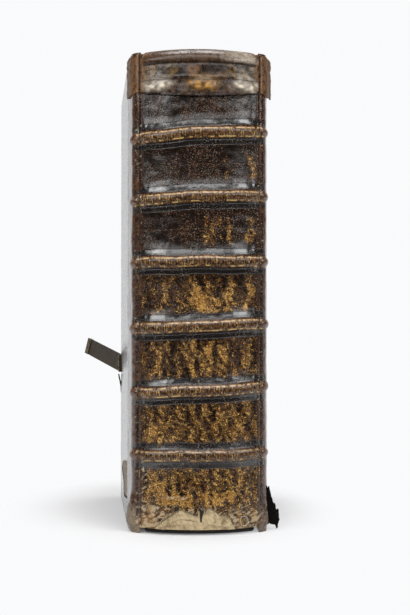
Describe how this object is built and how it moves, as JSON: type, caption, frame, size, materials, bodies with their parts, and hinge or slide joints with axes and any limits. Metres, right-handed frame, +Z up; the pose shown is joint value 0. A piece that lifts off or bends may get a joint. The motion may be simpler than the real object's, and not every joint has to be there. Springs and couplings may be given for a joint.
{
  "type": "antique bible",
  "caption": "Antique leather-bound bible standing on its tail: rounded spine with raised bands, wooden boards on leather joints, worn gilding and a clasp strap.",
  "frame": {"origin": "on the floor, under the middle of the whole part's box", "axes": "+Z up along the spine from tail to head, -Y out of the spine, +Y towards the fore-edge, +X towards the front cover"},
  "size_m": [0.1784, 0.3755, 0.3983],
  "materials": {
    "dark_leather": "satin",
    "patch_leather": "satin",
    "strap_leather": "matte",
    "rag_paper": "matte",
    "lining": "matte",
    "beech_wood": "matte",
    "hemp_cord": "matte",
    "sewn_thread": "matte",
    "old_brass": "satin"
  },
  "bodies": {
    "book_block": {"text_block": "rag_paper", "sewing_cord_1": "hemp_cord", "sewing_cord_2": "hemp_cord", "sewing_cord_3": "hemp_cord", "sewing_cord_4": "hemp_cord", "sewing_cord_5": "hemp_cord", "sewing_cord_6": "hemp_cord", "spine_linings": "lining", "spine_leather": "dark_leather", "head_endband": "sewn_thread", "tail_endband": "sewn_thread", "head_patch": "patch_leather"},
    "back_cover": {"back_board": "beech_wood", "back_cover_leather": "dark_leather", "back_pastedown": "rag_paper", "back_patch_end": "patch_leather", "clasp_strap": "strap_leather", "clasp_hook": "old_brass", "hook_rivets": "old_brass", "strap_plate": "old_brass", "strap_nails": "old_brass"},
    "front_cover": {"front_board": "beech_wood", "front_cover_leather": "dark_leather", "front_pastedown": "rag_paper", "front_patch_end": "patch_leather", "catch_plate": "old_brass", "catch_nails": "old_brass"}
  },
  "joints": [
    {"name": "back_cover_hinge", "type": "hinge", "parent": "book_block", "child": "back_cover", "pos_m": [-0.02899, -0.1649, 0.2], "axis": [0, 0, 1], "range_deg": [-1.8, 118.2]},
    {"name": "front_cover_hinge", "type": "hinge", "parent": "book_block", "child": "front_cover", "pos_m": [0.07101, -0.1649, 0.2], "axis": [0, 0, -1], "range_deg": [0, 120]}
  ]
}
